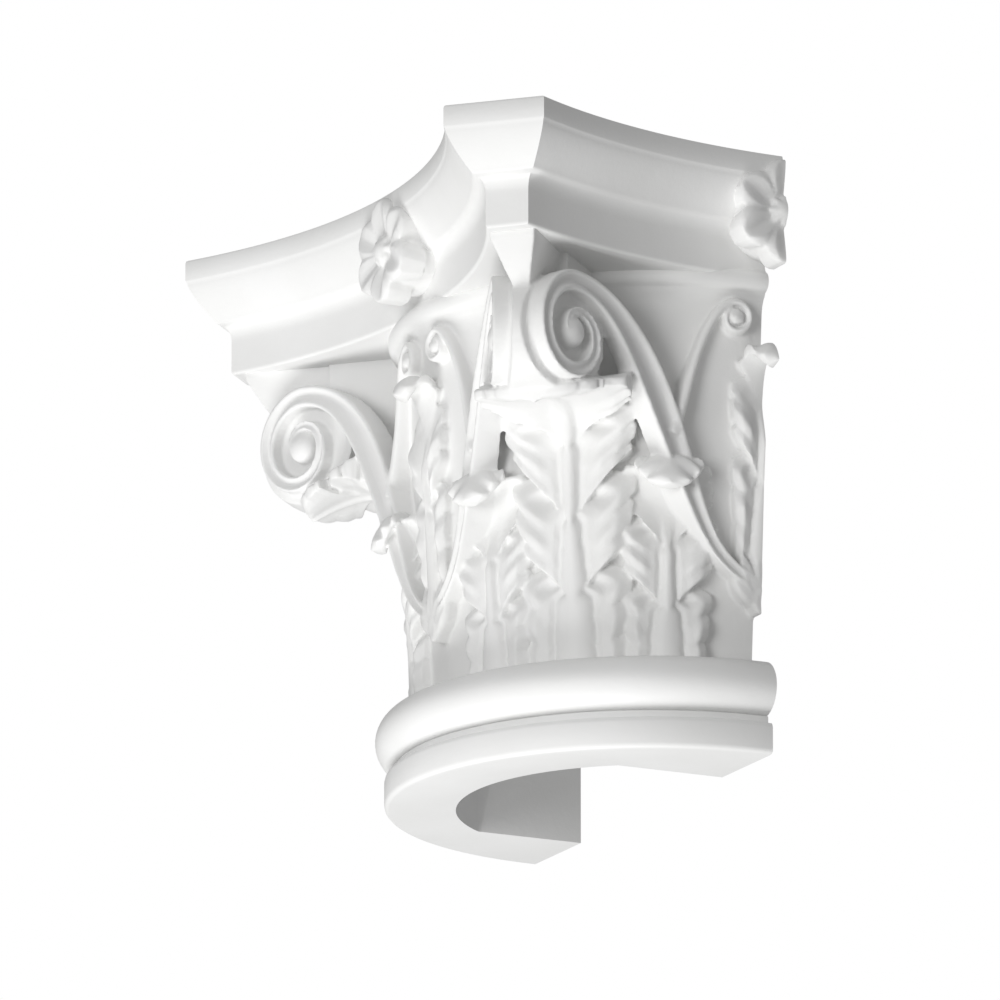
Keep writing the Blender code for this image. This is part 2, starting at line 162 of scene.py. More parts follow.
# Barrel between the volutes of a corner, its neck, and the pendant over it: (distance, height)
HORN_AT = 0.170
BARREL_HALF = 0.0136
BARREL_TAPER = 0.4245
BARREL_RADIUS = 0.0270
BARREL_SIDES = 40
NECK_HALF = 0.0125
NECK_PROFILE = ((0.095, 0.245), (0.160, 0.245), (0.160, 0.177), (0.140, 0.169), (0.095, 0.159))
PENDANT_PROFILE = (
    (0.140, 0.245), (0.2050, 0.245), (0.2035, 0.229), (0.1955, 0.216), (0.1870, 0.204), (0.140, 0.204),
)
PENDANT_TOP_HALF = 0.0120
PENDANT_FOOT_HALF = 0.0025
PENDANT_FOOT = 0.204

# Small inner curls: a round cord on a stalk, and a button as (radius, depth)
CURL_AT = 0.0150
CURL_Z = 0.2110
CURL_RADIUS = 0.0104
CURL_SHRINK = 0.12
CURL_TURNS = 1.35
CURL_BAND = 0.39
CURL_STEPS = 60
STALK_START = (-0.047, 0.152)
STALK_PULL = (-0.036, 0.178)
STALK_TOP_PULL = (-0.030, -0.002)
STALK_STEPS = 30
STALK_HALF = 0.0030
CORD_EDGE = ((-1, 0.0026), (-0.85, 0.0044), (-0.55, 0.0056))
CORD_RISE = 0.0061
CURL_FLOOR = ((0.0060, -0.008), (0.0060, 0.0030), (0.0032, 0.0032))
CURL_BUTTON = ((0.0029, 0.0048), (0.0023, 0.0061), (0.0012, 0.0068))

# Acanthus leaves: the stem and the curl of each spine are (distance, height)
WRAP_RADIUS = 0.118
LOWER_ANGLES = (22.5, 67.5, 112.5, 157.5)
LOWER_STEM = ((0.106, 0.040), (0.107, 0.070), (0.109, 0.100))
LOWER_CURL = ((0.110, 0.112), (0.111, 0.142), (0.126, 0.144), (0.1285, 0.125))
LOWER_HALF = 0.0240
CORNER_ANGLES = (45.0, 135.0)
CORNER_STEM = ((0.104, 0.040), (0.1075, 0.080), (0.112, 0.120))
CORNER_CURL = ((0.114, 0.140), (0.114, 0.174), (0.142, 0.177), (0.174, 0.161))
CORNER_HALF = 0.0320
CENTRE_STEM = ((0.1096, 0.095), (0.1120, 0.130))
CENTRE_CURL = ((0.1155, 0.165), (0.117, 0.196), (0.127, 0.200), (0.131, 0.187))
CENTRE_HALF = 0.0155
LOBE_STEPS = 36
FACE_COLUMNS = 48
BACK_COLUMNS = 20
LEAFLETS = 3
LOBE_SLANT = 0.15
LOBE_NOTCH = 0.34
LEAFLET_NOTCH = 0.10
LEAF_FOOT = 0.84
RIB_FOOT = 0.42
RIB_TOP = 0.13
RIB_RUN = 0.42
RIB_RISE = 0.0038
PIPE_RISE = 0.0012
LOBE_RISE = 0.0040
VEIN_RISE = 0.0007
EYE_DEPTH = 0.0030
LEAF_BACK = 0.0110
TIP_BACK = 0.0030
TIP_RIDGE = 0.0030
TIP_FACE = 0.0022
TIP_LOSS = 0.78
TIP_VEIN = 0.0014
SPINE_STEPS = 90

# Buds at the ribbons' start: each leaflet is its lean in degrees and its reach
BUD_FOOT = 0.070
BUD_BACK = -0.004
BUD_LEAFLETS = ((-46, 0.020), (46, 0.020), (-22, 0.024), (22, 0.024), (0, 0.027))
BUD_HALF = 0.0042
BUD_RISE = 0.0062
BUD_CROWN = 0.0030
CALYX_PATH = ((0.0, 0.0), (0.0, 0.006), (0.0, 0.012))
CALYX_HALF = 0.0055
CALYX_RISE = 0.0088
LEAFLET_DIP = 0.0010
LEAFLET_STEPS = 12

# Flowers on the abacus: the disc is (radius, depth)
FLOWER_Z = 0.2600
FLOWER_RADIUS = 0.0255
FLOWER_BASE = 0.1180
FLOWER_DISC = ((0.0195, -0.004), (0.0205, 0.018), (0.0180, 0.0215), (0.0060, 0.0210))
PETALS = 6
PETAL_ROOT = 0.0040
PETAL_HALF = 0.0104
PETAL_LIFT = 0.0225
PETAL_CROWN = 0.0050
PETAL_END_RISE = 0.0005
PETAL_FOLD = 0.0030
PETAL_EDGE = 0.0022
PETAL_BACK = 0.012
PETAL_STEPS = 14
BOSS_RADIUS = 0.0066
BOSS_BACK = 0.018
BOSS_DEPTH = 0.0230
BOSS_RISE = 0.0055
SEEDS = 8
SEED_AT = 0.0058
SEED_RADIUS = 0.0019
SEED_DEPTH = 0.0246

# Fusing the carving, and the angle from which an edge is drawn sharp
VOXEL = 0.0008
SOFTENING = 3
CARVING_TRIANGLES = 168000
SHARP_ANGLE = 38

# How far the cutting shapes reach past what they cut
OVERRUN = 0.030
FULL_TURN = 2 * math.pi


def blend(low, high, amount):
    return low + (high - low) * amount


def clamp(value, low, high):
    return max(low, min(high, value))


def smooth(value):
    value = clamp(value, 0, 1)
    return value * value * (3 - 2 * value)


def around(angle, radius, z):
    """Point at an angle in degrees from the +X wall end, round the front, to the -X wall end."""
    turn = math.radians(angle)
    return Vector((radius * math.cos(turn), WALL_Y - radius * math.sin(turn), z))


def bezier(points, count):
    """Points along one quadratic or cubic curve, both ends included."""
    row = [Vector(p) for p in points]
    curve = []
    for i in range(count + 1):
        t = i / count
        level = row
        while len(level) > 1:
            level = [a.lerp(b, t) for a, b in zip(level, level[1:])]
        curve.append(level[0])
    return curve


def even(points, count):
    """The same open line with its points spaced evenly."""
    lengths = [0.0]
    for a, b in zip(points, points[1:]):
        lengths.append(lengths[-1] + (b - a).length)
    row = []
    index = 0
    for i in range(count + 1):
        goal = lengths[-1] * i / count
        while index < len(points) - 2 and lengths[index + 1] < goal:
            index += 1
        span = lengths[index + 1] - lengths[index]
        row.append(points[index].lerp(points[index + 1], clamp((goal - lengths[index]) / span, 0, 1)))
    return row


class Shells:
    """Closed shells gathered into one mesh."""

    def __init__(self):
        self.verts = []
        self.faces = []

    def add(self, rings):
        """Closed solid through rings of equal length, each joined to the next, with flat ends."""
        start = len(self.verts)
        size = len(rings[0])
        for ring in rings:
            self.verts.extend(ring)
        faces = []
        for row in range(len(rings) - 1):
            low = start + row * size
            for i in range(size):
                j = (i + 1) % size
                faces.append((low + i, low + j, low + size + j, low + size + i))
        last = start + (len(rings) - 1) * size
        faces.append(tuple(range(start + size - 1, start - 1, -1)))
        faces.append(tuple(range(last, last + size)))
        self.faces.extend(faces)

    def build(self, name):
        """Piece made of the shells, with every face turned outward."""
        mesh = bpy.data.meshes.new(name)
        mesh.from_pydata([tuple(v) for v in self.verts], [], self.faces)
        bm = bmesh.new()
        bm.from_mesh(mesh)
        bmesh.ops.triangulate(bm, faces=[f for f in bm.faces if len(f.verts) > 4])
        bmesh.ops.recalc_face_normals(bm, faces=bm.faces)
        bm.to_mesh(mesh)
        bm.free()
        piece = bpy.data.objects.new(name, mesh)
        bpy.context.scene.collection.objects.link(piece)
        return piece


def bell_radius(z):
    """Radius of the bell at a height, without its flare and lip."""
    rise = clamp((z - BELL_BASE) / (BELL_TOP - BELL_BASE), 0, 1)
    return blend(BELL_BASE_RADIUS, BELL_TOP_RADIUS, rise)


def turned(profile, count):
    """Half of a turned solid and a little more, closed through the axis."""
    rings = []
    low = profile[0][1]
    high = profile[-1][1]
    for i in range(count + 1):
        angle = blend(-PAST_WALL, 180 + PAST_WALL, i / count)
        ring = [around(angle, radius, z) for radius, z in profile]
        ring.append(Vector((0, WALL_Y, high)))
        ring.append(Vector((0, WALL_Y, low)))
        rings.append(ring)
    return rings


def ring_profile():
    """Radius and height up the outside of the ring, and a little way up the bell."""
    rows = [(BAND_RADIUS - BAND_FOOT_ROUND, 0.0)]
    for degrees in (-60, -30, 0):
        turn = math.radians(degrees)
        radius = BAND_RADIUS - BAND_FOOT_INSET * (1 - math.cos(turn))
        rows.append((radius, BAND_FOOT_ROUND + BAND_FOOT_ROUND * math.sin(turn)))
    rows.append((BAND_RADIUS, BAND_TOP - 2 * SOFT_EDGE))
    rows.append((BAND_RADIUS - 0.3 * SOFT_EDGE, BAND_TOP - 0.8 * SOFT_EDGE))
    rows.append((BAND_RADIUS - SOFT_EDGE, BAND_TOP))
    rows.append((GROOVE_RADIUS + SOFT_EDGE, BAND_TOP + GROOVE_SLOPE))
    rows.append((GROOVE_RADIUS, BAND_TOP + GROOVE_CORNER))
    rows.append((GROOVE_RADIUS, GROOVE_TOP))
    middle = GROOVE_TOP + TORUS_HALF_HEIGHT
    for i in range(TORUS_STEPS + 1):
        turn = math.radians(blend(-76, 84, i / TORUS_STEPS))
        radius = TORUS_RADIUS - TORUS_HALF_HEIGHT * (1 - math.cos(turn))
        rows.append((radius, middle + TORUS_HALF_HEIGHT * math.sin(turn)))
    rows.append((TORUS_RADIUS - TORUS_HALF_HEIGHT - RING_TOP_INSET, RING_TOP))
    rows += [(BELL_BASE_RADIUS + out, RING_TOP + up) for out, up in RING_HOLLOW]
    return rows


def bell_profile():
    """Radius and height up the bell, its flare and its round lip."""
    rows = [BELL_ROOT, (BELL_BASE_RADIUS, BELL_BASE)]
    for i in range(1, BELL_ROWS):
        z = blend(BELL_BASE, BELL_TOP, i / BELL_ROWS)
        rows.append((bell_radius(z), z))
    rows.append((BELL_TOP_RADIUS, BELL_TOP))
    for degrees in (20, 40, 60, 78):
        turn = math.radians(degrees)
        out = FLARE_REACH * (1 - math.cos(turn))
        rows.append((BELL_TOP_RADIUS + out, BELL_TOP + FLARE_RISE * math.sin(turn)))
    middle = LIP_TOP - LIP_MIDDLE_DROP
    for i in range(LIP_STEPS + 1):
        turn = math.radians(blend(-90, 80, i / LIP_STEPS))
        radius = LIP_RADIUS - LIP_ROUND * (1 - math.cos(turn))
        rows.append((radius, middle + LIP_HALF_HEIGHT * math.sin(turn)))
    rows.append((LIP_RADIUS - LIP_BACK, LIP_TOP + LIP_BACK))
    return rows


def abacus_plan(inset, count):
    """Plan of the whole abacus, moved in by an inset: four hollow sides and four cut corners."""
    sagitta = HALF_WIDTH - ABACUS_MID
    radius = (ABACUS_CORNER ** 2 + sagitta ** 2) / (2 * sagitta)
    centre = ABACUS_MID + radius
    cut = HALF_WIDTH + ABACUS_CORNER - inset * math.sqrt(2)
    reach = radius + inset
    gap = centre - cut
    end = (math.sqrt(2 * reach * reach - gap * gap) - gap) / 2
    plan = []
    for side in range(4):
        for i in range(count + 1):
            along = blend(-end, end, i / count)
            out = centre - math.sqrt(reach * reach - along * along)
            turn = math.radians(90 * side)
            x = out * math.cos(turn) - along * math.sin(turn)
            y = out * math.sin(turn) + along * math.cos(turn)
            plan.append((x, WALL_Y - y))
    return plan


def abacus_profile():
    """Inset and height: fillet, rounded splay, quirk, cove and a plain band down to the soffit."""
    rows = [(inset, HEIGHT + up) for inset, up in TOP_EDGE]
    rows += [(inset, FILLET_BOTTOM + up) for inset, up in FILLET_EDGE]
    for i in range(SPLAY_STEPS + 1):
        part = i / SPLAY_STEPS
        inset = blend(SPLAY_START[0], SPLAY_INSET, part ** SPLAY_ROUND)
        rows.append((inset, blend(FILLET_BOTTOM + SPLAY_START[1], SPLAY_BOTTOM, part)))
    rows.append((SPLAY_INSET + SPLAY_EDGE[0], SPLAY_BOTTOM + SPLAY_EDGE[1]))
    for i in range(COVE_STEPS + 1):
        turn = math.radians(blend(0, 90, i / COVE_STEPS))
        inset = blend(SPLAY_INSET + QUIRK, COVE_INSET, math.sin(turn))
        rows.append((inset, blend(SPLAY_BOTTOM - QUIRK, COVE_BOTTOM, 1 - math.cos(turn))))
    for degrees in (0, 16, 32, 48, 64, 80):
        turn = math.radians(degrees)
        inset = COVE_INSET + SOFFIT_ROUND[0] * (1 - math.cos(turn))
        rows.append((inset, SOFFIT + SOFFIT_ROUND[1] * (1 - math.sin(turn))))
    rows.append((COVE_INSET + SOFFIT_INSET, SOFFIT))
    return rows


def abacus():
    """The abacus as rings of its plan, from the top down."""
    rings = []
    for inset, z in abacus_profile():
        rings.append([Vector((x, y, z)) for x, y in abacus_plan(inset, SIDE_STEPS)])
    return rings


def face_distance(along, z):
    """Distance of the ribbons' sheet from the axis: on the bell in the middle, free of it outside."""
    radius = bell_radius(z)
    bell = math.sqrt(max(radius * radius - along * along, 0.0))
    sheet = SHEET_MID + SHEET_BEND * along * along
    gap = bell - sheet
    return (bell + sheet + math.sqrt(gap * gap + SHEET_BLEND ** 2)) / 2


def on_face(turn, along, z, depth):
    """Point on a face: turned 0 to the +X side, 90 to the front, 180 to the -X side."""
    straight = along - math.copysign((2 * SHEET_BEND) ** 2 * abs(along) ** 3 / 6, along)
    step = 0.001
    slope = (face_distance(straight + step, z) - face_distance(straight - step, z)) / (2 * step)
    scale = 1 / math.sqrt(1 + slope * slope)
    out = face_distance(straight, z) + depth * scale
    side = straight - depth * slope * scale
    angle = math.radians(turn)
    x = out * math.cos(angle) - side * math.sin(angle)
    y = out * math.sin(angle) + side * math.cos(angle)
    return Vector((x, WALL_Y - y, z))


def spiral(centre, radius, shrink, closing, turns, band, count):
    """Middle points and half widths of a spiral band from its top, turning outward and down."""
    stations = []
    for i in range(count + 1):
        turn = FULL_TURN * turns * i / count
        outer = radius * math.exp(-shrink * turn - closing * max(turn - math.pi, 0) ** 2)
        half = outer * band / 2
        middle = outer - half
        place = Vector((centre[0] + middle * math.sin(turn), centre[1] + middle * math.cos(turn)))
        stations.append((place, half))
    return stations


def swept_band(shells, turn, side, stations, front, backs):
    """Band along stations in a face's sheet: its front is (across, depth) pairs, its back is flat."""
    rings = []
    places = [place for place, half in stations]
    for i, (place, half) in enumerate(stations):
        section = [(-1, backs[i])] + list(front(i)) + [(1, backs[i])]
        ahead = places[min(i + 1, len(places) - 1)]
        behind = places[max(i - 1, 0)]
        run = (ahead - behind).normalized()
        across = Vector((-run.y, run.x))
        ring = []
        for offset, depth in section:
            spot = place + across * offset * half
            ring.append(on_face(turn, side * spot.x, spot.y, depth))
        rings.append(ring)
    shells.add(rings)


def ribbon_stations():
    """Stem from the middle of the face to the volute, then the volute's own spiral."""
    centre = (VOLUTE_AT, VOLUTE_Z)
    curl = spiral(
        centre, VOLUTE_RADIUS, VOLUTE_SHRINK, VOLUTE_CLOSING, VOLUTE_TURNS, VOLUTE_BAND, VOLUTE_STEPS,
    )
    top, top_half = curl[0]
    low = bezier((RIBBON_START,) + RIBBON_LOW_PULLS + (RIBBON_KNEE,), 20)
    high = bezier((RIBBON_KNEE, RIBBON_HIGH_PULL, (RIBBON_TOP_PULL, top.y), top), 36)
    stem = even(low[:-1] + high, RIBBON_STEPS)[:-1]
    stations = []
    for i, place in enumerate(stem):
        part = i / len(stem)
        if part < RIBBON_FULL_AT:
            half = blend(RIBBON_START_HALF, RIBBON_FULL_HALF, smooth(part / RIBBON_FULL_AT))
        else:
            half = blend(RIBBON_FULL_HALF, top_half, smooth((part - RIBBON_FULL_AT) / (1 - RIBBON_FULL_AT)))
        stations.append((place, half))
    return stations + curl, len(stem)


def ribbon(shells, turn, side):
    """Ribbon with two rims and a channel between them, running out into its volute."""
    stations, stem = ribbon_stations()
    backs = [blend(STEM_BACK, BAND_BACK, clamp(i / stem, 0, 1)) for i in range(len(stations))]

    def front(i):
        """Across and depth of the front, as shares of the half width, from one edge to the other."""
        half = stations[i][1]
        rim = clamp(RIM_WIDTH / half, 0.16, 0.34)
        inner = 1 - 2.1 * rim
        drop = min(RIM_DEPTH - CHANNEL_DEPTH, half * 0.62)
        floor = RIM_DEPTH - drop
        row = [(-1, RIM_DEPTH - 0.0012), (-1 + rim * 0.35, RIM_DEPTH - 0.0002), (-1 + rim, RIM_DEPTH)]
        row.append((-1 + rim * 1.6, RIM_DEPTH - 0.0008))
        for share in (-0.8, -0.4, 0, 0.4, 0.8):
            row.append((inner * share, floor + drop * 0.35 * share * share))
        row += [(-across, depth) for across, depth in reversed(row[:4])]
        return row

    swept_band(shells, turn, side, stations, front, backs)


def face_disc(shells, turn, side, centre, rows, count):
    """Round boss on a face: rows of (radius, depth) from the back to the front."""
    rings = []
    for radius, depth in rows:
        ring = []
        for i in range(count):
            angle = FULL_TURN * i / count
            along = side * (centre[0] + radius * math.cos(angle))
            ring.append(on_face(turn, along, centre[1] + radius * math.sin(angle), depth))
        rings.append(ring)
    shells.add(rings)


def volute_web(shells, turn, side):
    """Sunk ground between the turns of a volute."""
    radius = VOLUTE_RADIUS * WEB_SHARE
    rows = [(radius, BAND_BACK - 0.0007), (radius, WEB_DEPTH)]
    rows += [(radius * share, WEB_DEPTH) for share in (0.8, 0.6, 0.4, 0.2, 0.05)]
    face_disc(shells, turn, side, (VOLUTE_AT, VOLUTE_Z), rows, 48)


def volute_button(shells, turn, side):
    """Round button in the middle of a volute."""
    rows = [(BUTTON_RADIUS, BUTTON_BACK)]
    for degrees in (0, 20, 40, 60, 80):
        angle = math.radians(degrees)
        rows.append((BUTTON_RADIUS * math.cos(angle), BUTTON_FOOT + BUTTON_RISE * math.sin(angle)))
    face_disc(shells, turn, side, (VOLUTE_AT, VOLUTE_Z), rows, 24)


def inner_curl(shells, turn, side):
    """Small curl under the lip, on a stalk that leaves the ribbon."""
    curl = spiral((-CURL_AT, CURL_Z), CURL_RADIUS, CURL_SHRINK, 0.0, CURL_TURNS, CURL_BAND, CURL_STEPS)
    top, top_half = curl[0]
    pull = (STALK_TOP_PULL[0], top.y + STALK_TOP_PULL[1])
    stalk = bezier((STALK_START, STALK_PULL, pull, top), STALK_STEPS)
    stalk = even(stalk, STALK_STEPS)[:-1]
    stations = [(place, blend(STALK_HALF, top_half, i / len(stalk))) for i, place in enumerate(stalk)]
    stations += curl
    backs = [STEM_BACK] * len(stations)
    far_edge = tuple((-across, depth) for across, depth in reversed(CORD_EDGE))
    section = CORD_EDGE + ((0, CORD_RISE),) + far_edge
    swept_band(shells, turn, -side, stations, lambda i: section, backs)
    face_disc(shells, turn, side, (CURL_AT, CURL_Z), CURL_FLOOR + CURL_BUTTON, 16)


def on_diagonal(shells, angle, profile, half_at):
    """Slab on a corner's diagonal, from a profile of (distance, height) and a half thickness."""
    rings = []
    for side in (-1, 1):
        ring = []
        for out, z in profile:
            turn = math.atan2(side * half_at(out, z), out)
            ring.append(around(angle + math.degrees(turn), out / math.cos(turn), z))
        rings.append(ring)
    shells.add(rings)


def pendant_half(out, z):
    """Half thickness of the pendant: it widens from its foot up to the soffit."""
    rise = clamp((z - PENDANT_FOOT) / (SOFFIT - PENDANT_FOOT), 0, 1)
    return blend(PENDANT_FOOT_HALF, PENDANT_TOP_HALF, rise)


def horn(shells, angle):
    """What ties the volutes of a corner to the bell and fills the corner under the abacus."""
    on_diagonal(shells, angle, NECK_PROFILE, lambda out, z: NECK_HALF)
    barrel = []
    for i in range(BARREL_SIDES):
        turn = FULL_TURN * (i + 0.5) / BARREL_SIDES
        barrel.append((HORN_AT + BARREL_RADIUS * math.cos(turn), VOLUTE_Z + BARREL_RADIUS * math.sin(turn)))
    on_diagonal(shells, angle, barrel, lambda out, z: BARREL_HALF - BARREL_TAPER * (out - HORN_AT))
    on_diagonal(shells, angle, PENDANT_PROFILE, pendant_half)


def on_spine(spine, part, height):
    """Distance and height of a point over a spine, at a part of its length."""
    last = len(spine) - 1
    place = clamp(part, 0, 1) * last
    index = min(int(place), last - 1)
    spot = spine[index].lerp(spine[index + 1], place - index)
    run = (spine[min(index + 2, last)] - spine[max(index - 1, 0)]).normalized()
    return spot.x + run.y * height, spot.y - run.x * height


def leaf_half_width(part, phase, lobe, half_width, shoulder, closing):
    """Half width of a leaf: lobes part at deep notches, leaflets at small ones; the tip closes."""
    fall = clamp((part - shoulder) / (1 - shoulder), 0, 1)
    outline = blend(LEAF_FOOT, 1.0, smooth(part / shoulder)) * (1 - TIP_LOSS * fall ** closing)
    start = math.exp(-(phase / 0.13) ** 2) if lobe > 0 else 0
    notch = LOBE_NOTCH * (start + 0.8 * math.exp(-((1 - phase) / 0.07) ** 2))
    cusp = (1 - abs(math.sin(math.pi * LEAFLETS * phase))) ** 3
    return half_width * outline * (0.94 + 0.12 * phase) * (1 - notch) * (1 - LEAFLET_NOTCH * cusp)


def leaf_relief(wide, phase, part, body):
    """Height of a leaf's face over its spine: rib, pipes beside it, lobes, leaflets and eyes."""
    rib_half = blend(RIB_FOOT, RIB_TOP, smooth(part / RIB_RUN))
    rib = RIB_RISE * math.sqrt(max(1 - (wide / rib_half) ** 2, 0))
    pipe = PIPE_RISE * math.exp(-((wide - rib_half - 0.13) / 0.07) ** 2) * (1 - smooth((part - 0.4) / 0.3))
    side = smooth((wide - rib_half) / 0.40)
    lobe = LOBE_RISE * math.sin(math.pi * clamp(0.05 + 0.90 * phase ** 0.8, 0, 1)) ** 0.7 * side
    vein = -VEIN_RISE * math.cos(FULL_TURN * LEAFLETS * phase) * smooth((wide - rib_half - 0.1) / 0.3)
    eye = EYE_DEPTH * math.exp(-(min(phase, 1 - phase) / 0.10) ** 2 - ((wide - 0.58) / 0.12) ** 2)
    edge = 0.45 * body * smooth((wide - 0.72) / 0.28)
    return 0.65 * body + rib + pipe + lobe + vein - eye - edge


def leaf(shells, angle, stem, curl, half_width, lobes, body, shoulder, closing, tip_relief, back_vein):
    """Leaf round a spine, its rows slanting up from the rib to the lobes, its tip bent over."""
    spine = even([Vector(p) for p in stem] + bezier(curl, 24), SPINE_STEPS)
    rings = []
    for i in range(LOBE_STEPS * lobes + 1):
        part = i / (LOBE_STEPS * lobes)
        lobe = min(i // LOBE_STEPS, lobes - 1)
        phase = part * lobes - lobe
        width = leaf_half_width(part, phase, lobe, half_width, shoulder, closing)
        curled = smooth((part - shoulder) / 0.2)
        points = []
        for j in range(FACE_COLUMNS + 1):
            across = blend(-1, 1, j / FACE_COLUMNS)
            relief = leaf_relief(abs(across), phase, part, body)
            bent = TIP_FACE * (1 - across * across) + tip_relief * (relief - 0.2 * body)
            points.append((across, blend(relief, bent, curled)))
        for j in range(BACK_COLUMNS + 1):
            across = blend(1, -1, j / BACK_COLUMNS)
            vein = back_vein * math.cos(FULL_TURN * LEAFLETS * phase) * abs(across)
            bent = TIP_BACK + TIP_RIDGE * (1 - across * across) - vein
            points.append((across, -blend(LEAF_BACK, bent, curled)))
        ring = []
        for across, height in points:
            up = part + LOBE_SLANT * abs(across) ** 1.2 * 4 * part * (1 - part)
            radius, z = on_spine(spine, up, height)
            ring.append(around(angle + math.degrees(across * width / WRAP_RADIUS), radius, z))
        rings.append(ring)
    shells.add(rings)


def lower_leaf(shells, angle):
    """Leaf of the lower row, its tip curled over."""
    leaf(
        shells, angle, LOWER_STEM, LOWER_CURL, LOWER_HALF, lobes=4, body=0.0080,
        shoulder=0.47, closing=2.0, tip_relief=0.0, back_vein=TIP_VEIN,
    )


def corner_leaf(shells, angle):
    """Tall leaf that reaches out under the volutes of a corner."""
    leaf(
        shells, angle, CORNER_STEM, CORNER_CURL, CORNER_HALF, lobes=5, body=0.0085,
        shoulder=0.60, closing=2.2, tip_relief=0.35, back_vein=0.0,
    )


def centre_leaf(shells, turn):
    """Narrow leaf between the ribbons of one face."""
    leaf(
        shells, turn, CENTRE_STEM, CENTRE_CURL, CENTRE_HALF, lobes=3, body=0.0060,
        shoulder=0.50, closing=2.0, tip_relief=0.0, back_vein=TIP_VEIN,
    )


def leaflet_path(lean, reach):
    """Root, bend and tip of one leaflet of the bud, as (across, up) from the bud's foot."""
    tip = (reach * math.cos(lean), 0.006 + reach * math.sin(lean))
    return ((0.0, 0.003), (reach * 0.75 * math.cos(lean), 0.004 + reach * 0.4), tip)


def leaflet(shells, turn, path, half, rise, crown):
    """Small spoon-shaped lobe on the bell, along a path of (across, up) from the bud's foot."""
    row = even(bezier(path, 16), LEAFLET_STEPS)
    rings = []
    for i, place in enumerate(row):
        t = i / LEAFLET_STEPS
        run = (row[min(i + 1, LEAFLET_STEPS)] - row[max(i - 1, 0)]).normalized()
        across = Vector((-run.y, run.x))
        width = half * max(math.sin(math.pi * (0.10 + 0.90 * t) ** 1.25) ** 0.7, 0.10)
        lift = rise + crown * math.sin(math.pi * t)
        dip = LEAFLET_DIP * math.sin(math.pi * t)
        spots = []
        for u in (-1.0, -0.8, -0.5, -0.25, 0.0, 0.25, 0.5, 0.8, 1.0):
            height = lift * (1 - 0.35 * u ** 4) - dip * math.exp(-(u / 0.45) ** 2)
            spots.append((place + across * u * width, height))
        spots.append((place + across * 0.8 * width, BUD_BACK))
        spots.append((place - across * 0.8 * width, BUD_BACK))
        ring = []
        for spot, height in spots:
            z = BUD_FOOT + spot.y
            ring.append(around(turn + math.degrees(spot.x / WRAP_RADIUS), bell_radius(z) + height, z))
        rings.append(ring)
    shells.add(rings)


def bud(shells, turn):
    """Small cup of leaflets from which the two ribbons of a face start."""
    for lean, reach in BUD_LEAFLETS:
        path = leaflet_path(math.radians(90 + lean), reach)
        leaflet(shells, turn, path, BUD_HALF, BUD_RISE, BUD_CROWN)
    leaflet(shells, turn, CALYX_PATH, CALYX_HALF, CALYX_RISE, 0.0)


def on_flower(turn, along, up, depth):
    """Point of a flower: along its side of the abacus, up from its middle, and out."""
    facing = math.radians(turn)
    out = FLOWER_BASE + depth
    x = out * math.cos(facing) - along * math.sin(facing)
    y = out * math.sin(facing) + along * math.cos(facing)
    return Vector((x, WALL_Y - y, FLOWER_Z + up))


def flower_dome(shells, turn, centre, rows, count):
    """Round form on a flower, from rows of (radius, depth)."""
    rings = []
    for radius, depth in rows:
        ring = []
        for i in range(count):
            angle = FULL_TURN * i / count
            along = centre[0] + radius * math.cos(angle)
            ring.append(on_flower(turn, along, centre[1] + radius * math.sin(angle), depth))
        rings.append(ring)
    shells.add(rings)


def petal(shells, turn, angle):
    """Broad petal with a fold down its middle and edges that fall away."""
    ahead = Vector((math.cos(angle), math.sin(angle)))
    across = Vector((-ahead.y, ahead.x))
    rings = []
    for i in range(PETAL_STEPS + 1):
        t = i / PETAL_STEPS
        place = ahead * blend(PETAL_ROOT, FLOWER_RADIUS, t)
        width = PETAL_HALF * math.sin(math.pi * (0.12 + 0.84 * t) ** 1.5) ** 0.6
        lift = PETAL_LIFT + PETAL_CROWN * math.sin(math.pi * 0.80 * t) + PETAL_END_RISE * t
        ring = []
        for u in (-1.0, -0.85, -0.6, -0.3, 0.0, 0.3, 0.6, 0.85, 1.0):
            fold = PETAL_FOLD * math.exp(-(u / 0.42) ** 2) * math.sin(math.pi * t)
            edge = PETAL_EDGE * max(abs(u) - 0.6, 0) / 0.4
            spot = place + across * u * width
            ring.append(on_flower(turn, spot.x, spot.y, lift - fold - edge))
        for u in (0.8, -0.8):
            spot = place + across * u * width
            ring.append(on_flower(turn, spot.x, spot.y, PETAL_BACK))
        rings.append(ring)
    shells.add(rings)


def flower(shells, turn):
    """Open flower in the middle of a side of the abacus: disc, petals, boss and seeds."""
    flower_dome(shells, turn, (0, 0), FLOWER_DISC, 36)
    for number in range(PETALS):
        petal(shells, turn, FULL_TURN * (number + 0.5) / PETALS)
    boss = [(BOSS_RADIUS, BOSS_BACK)]
    for degrees in (0, 20, 40, 60, 78):
        angle = math.radians(degrees)
        boss.append((BOSS_RADIUS * math.cos(angle), BOSS_DEPTH + BOSS_RISE * math.sin(angle)))
    flower_dome(shells, turn, (0, 0), boss, 24)
    seed = []
    for degrees in (-40, -10, 20, 50, 75):
        angle = math.radians(degrees)
        seed.append((SEED_RADIUS * math.cos(angle), SEED_DEPTH + SEED_RADIUS * math.sin(angle)))
    for number in range(SEEDS):
        angle = FULL_TURN * number / SEEDS
        centre = Vector((SEED_AT * math.cos(angle), SEED_AT * math.sin(angle)))
        flower_dome(shells, turn, centre, seed, 10)


